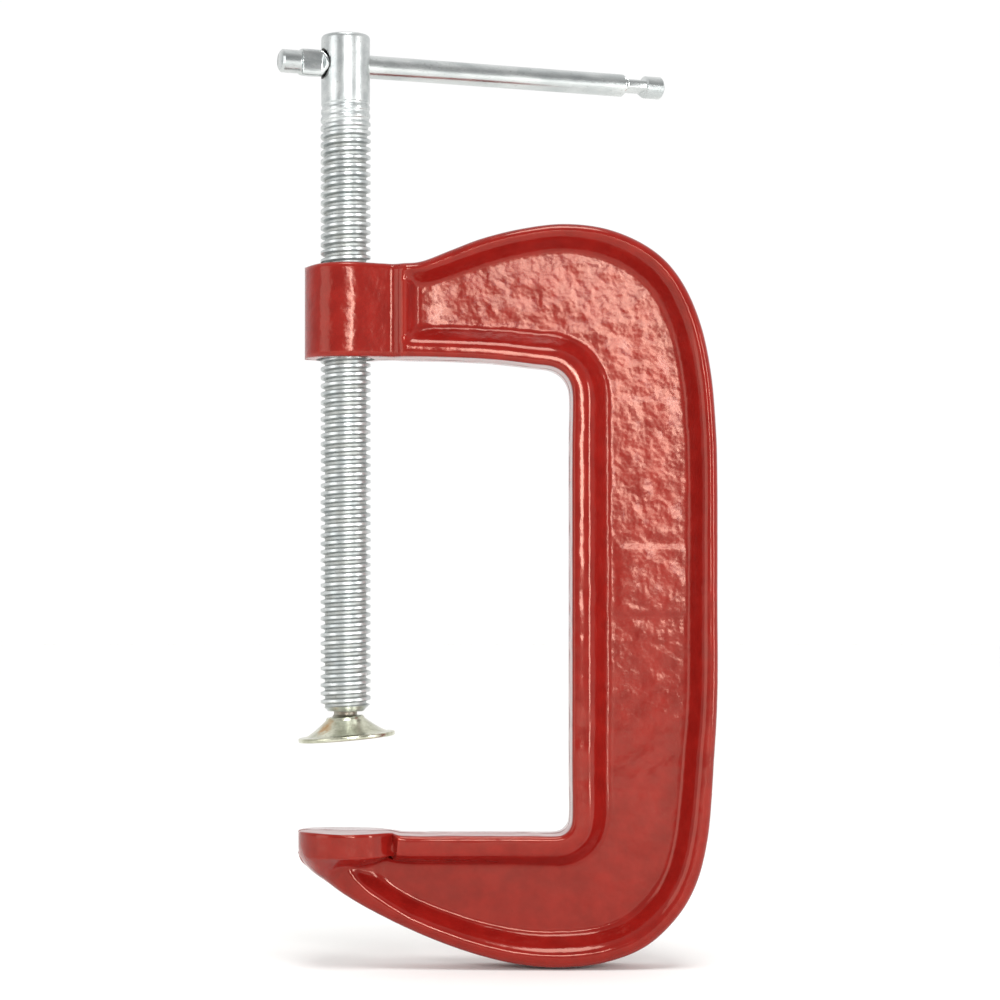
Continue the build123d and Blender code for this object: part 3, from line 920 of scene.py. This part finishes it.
class ClampBuildStage(bpy.types.Operator):
    """Adds the floor, lights, surroundings and camera"""

    bl_idname = "clamp.build_stage"
    bl_label = "Build stage"

    def execute(self, context):
        look = context.scene.clamp_stage
        scene = context.scene
        scene.view_settings.view_transform = "Standard"
        half = 6000.0
        corners = np.array([(x, y, FLOOR_Z) for x, y in
                            ((-half, -half), (half, -half), (half, half), (-half, half))])
        floor = mesh_object("floor", corners, np.array([[0, 1, 2, 3]]))
        for polygon in floor.data.polygons:
            if polygon.normal.z < 0:
                polygon.flip()
        card = bpy.data.materials.new("pale_matte_card")
        card.use_nodes = True
        shader = card.node_tree.nodes["Principled BSDF"]
        shader.inputs["Base Color"].default_value = linear("#F4F4F2")
        shader.inputs["Roughness"].default_value = 0.9
        floor.data.materials.append(card)

        world = bpy.data.worlds.new("studio")
        scene.world = world
        world.use_nodes = True
        tree = world.node_tree
        place = node(tree, "ShaderNodeTexCoord")
        split = node(tree, "ShaderNodeSeparateXYZ", Vector=(place, "Generated"))
        # white behind the object, dimmer behind the camera
        white, dim = 1.02, 0.42
        level = node(tree, "ShaderNodeMapRange",
                     {"From Min": -0.6, "From Max": 0.5, "To Min": dim, "To Max": white},
                     Value=(split, "Y"))
        # seen directly, the surroundings are an even white on every side
        ray = node(tree, "ShaderNodeLightPath")
        seen = node(tree, "ShaderNodeMix", {"data_type": "FLOAT", 3: white}, i0=(ray, "Is Camera Ray"),
                    i2=(level, 0))
        back = tree.nodes["Background"]
        back.inputs["Color"].default_value = (1.0, 1.0, 1.0, 1.0)
        tree.links.new(seen.outputs[0], back.inputs["Strength"])

        # soft boxes aimed at the middle of the clamp: name, place, width and height, watts
        centre = Vector((0.06, 0.0, 0.08))
        for name, place, size, power in (
            ("key_top", (0.23, -1.30, 0.44), (0.36, 0.26), 4.6),
            ("key_right", (0.39, -1.30, 0.24), (0.20, 0.30), 4.0),
            ("strip_right", (1.15, -0.60, 0.22), (0.16, 0.60), 4.2),
            ("fill_left", (-1.1, -0.7, 0.35), (0.7, 1.0), 4.0),
        ):
            data = bpy.data.lights.new(name, "AREA")
            data.shape, data.size, data.size_y, data.energy = "RECTANGLE", size[0], size[1], power
            light = bpy.data.objects.new(name, data)
            light.location = place
            light.rotation_euler = (centre - light.location).to_track_quat("-Z", "Y").to_euler()
            scene.collection.objects.link(light)
        sky = bpy.data.lights.new("overhead", "SUN")
        sky.energy, sky.angle = 1.3, radians(25)
        overhead = bpy.data.objects.new("overhead", sky)
        overhead.rotation_euler = (radians(16), radians(3), 0)
        scene.collection.objects.link(overhead)

        lens = bpy.data.cameras.new("camera")
        lens.sensor_width = 36.0
        lens.lens = 36.0 * look.distance / look.width
        lens.shift_x = (VIEW_CENTRE[0] - look.across) / look.width
        lens.shift_y = (VIEW_CENTRE[1] - look.height) / look.width
        lens.clip_start, lens.clip_end = 0.01, 50.0
        camera = bpy.data.objects.new("camera", lens)
        camera.location = (look.across, -look.distance, look.height)
        camera.rotation_euler = (pi / 2, 0, 0)
        scene.collection.objects.link(camera)
        scene.camera = camera
        return {"FINISHED"}


class ClampPanel(bpy.types.Panel):
    """Lists the clamp's pieces and settings in the sidebar"""

    bl_idname = "VIEW3D_PT_c_clamp"
    bl_label = "C Clamp"
    bl_space_type = "VIEW_3D"
    bl_region_type = "UI"
    bl_category = "C Clamp"

    def draw(self, context):
        layout = self.layout
        for group in (context.scene.clamp_frame, context.scene.clamp_metal, context.scene.clamp_stage):
            for key in group.__annotations__:
                layout.prop(group, key)
        for operator in OPERATORS:
            layout.operator(operator.bl_idname)


OPERATORS = (ClampBuildFrame, ClampBuildScrew, ClampBuildBar, ClampBuildPad, ClampBuildStage)
GROUPS = {
    "clamp_frame": ClampFrameSettings,
    "clamp_metal": ClampMetalSettings,
    "clamp_stage": ClampStageSettings,
}


def register():
    for group in GROUPS.values():
        bpy.utils.register_class(group)
    for key, group in GROUPS.items():
        setattr(bpy.types.Scene, key, bpy.props.PointerProperty(type=group))
    for kind in OPERATORS + (ClampPanel,):
        bpy.utils.register_class(kind)


def unregister():
    for kind in reversed(OPERATORS + (ClampPanel,)):
        bpy.utils.unregister_class(kind)
    for key in GROUPS:
        delattr(bpy.types.Scene, key)
    for group in GROUPS.values():
        bpy.utils.unregister_class(group)


def main():
    register()
    bpy.ops.clamp.build_frame()
    bpy.ops.clamp.build_screw()
    bpy.ops.clamp.build_bar()
    bpy.ops.clamp.build_pad()
    bpy.ops.clamp.build_stage()


if __name__ == "__main__":
    main()
